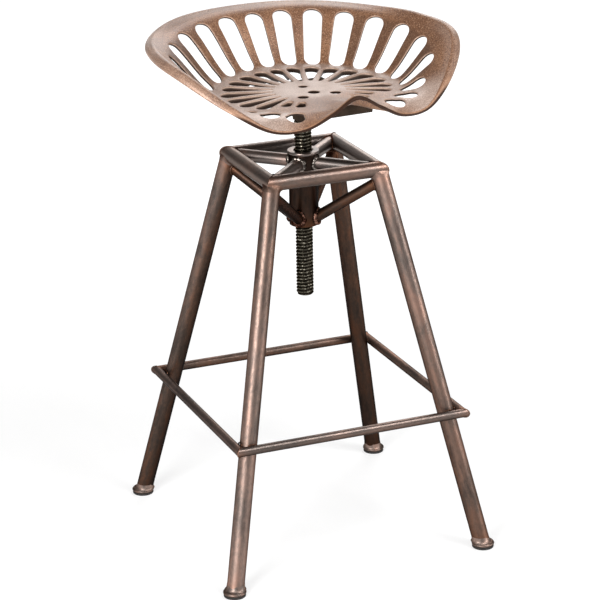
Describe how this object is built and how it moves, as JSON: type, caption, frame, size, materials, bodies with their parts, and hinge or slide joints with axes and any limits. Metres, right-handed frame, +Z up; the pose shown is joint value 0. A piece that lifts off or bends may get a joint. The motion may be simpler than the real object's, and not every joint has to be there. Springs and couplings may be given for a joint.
{
  "type": "adjustable bar stool",
  "caption": "Bar stool with a pierced tractor-style saddle seat that turns and rises on a threaded screw, on four splayed tube legs with a braced top square and a footrest ring.",
  "frame": {"origin": "on the floor, on the screw axis, in the middle of the four feet", "axes": "+Z up along the screw, -Y towards the front of the seat, +X to the sitter's left, which is the right of the picture"},
  "size_m": [0.4556, 0.424, 0.749],
  "materials": {
    "bronzed_steel": "antique bronze, rubbed, satin",
    "dark_steel": "dark, satin",
    "copper_bronze": "hammered copper bronze, semi-gloss",
    "black_rubber": "matt"
  },
  "bodies": {
    "base": {"foot_left_front": "bronzed_steel", "foot_left_rear": "bronzed_steel", "foot_pad_left_front": "black_rubber", "foot_pad_left_rear": "black_rubber", "foot_pad_right_front": "black_rubber", "foot_pad_right_rear": "black_rubber", "foot_right_front": "bronzed_steel", "foot_right_rear": "bronzed_steel", "footrest_bar_front": "bronzed_steel", "footrest_bar_left": "bronzed_steel", "footrest_bar_rear": "bronzed_steel", "footrest_bar_right": "bronzed_steel", "hub_arm_left_front": "bronzed_steel", "hub_arm_left_rear": "bronzed_steel", "hub_arm_right_front": "bronzed_steel", "hub_arm_right_rear": "bronzed_steel", "hub_brace_left_front": "bronzed_steel", "hub_brace_left_rear": "bronzed_steel", "hub_brace_right_front": "bronzed_steel", "hub_brace_right_rear": "bronzed_steel", "hub_collar": "bronzed_steel", "hub_tube": "bronzed_steel", "leg_left_front": "bronzed_steel", "leg_left_rear": "bronzed_steel", "leg_right_front": "bronzed_steel", "leg_right_rear": "bronzed_steel", "top_rail_front": "bronzed_steel", "top_rail_left": "bronzed_steel", "top_rail_rear": "bronzed_steel", "top_rail_right": "bronzed_steel"},
    "lift": {"screw_flange": "dark_steel"},
    "turn": {"screw": "dark_steel", "seat_bracket": "dark_steel", "seat_cross_bar_front": "dark_steel", "seat_cross_bar_rear": "dark_steel", "seat": "copper_bronze"}
  },
  "joints": [
    {"name": "seat_lift", "type": "slide", "parent": "base", "child": "lift", "axis": [0, 0, 1], "range_m": [-0.06875, 0.15125]},
    {"name": "seat_turn", "type": "hinge", "parent": "lift", "child": "turn", "pos_m": [0, 0, 0.56], "axis": [0, 0, 1], "range_deg": [-4970, 10910]}
  ],
  "couplings": [
    {"joint": "seat_turn", "follows": "seat_lift", "rad_per_m": 1256.6}
  ]
}
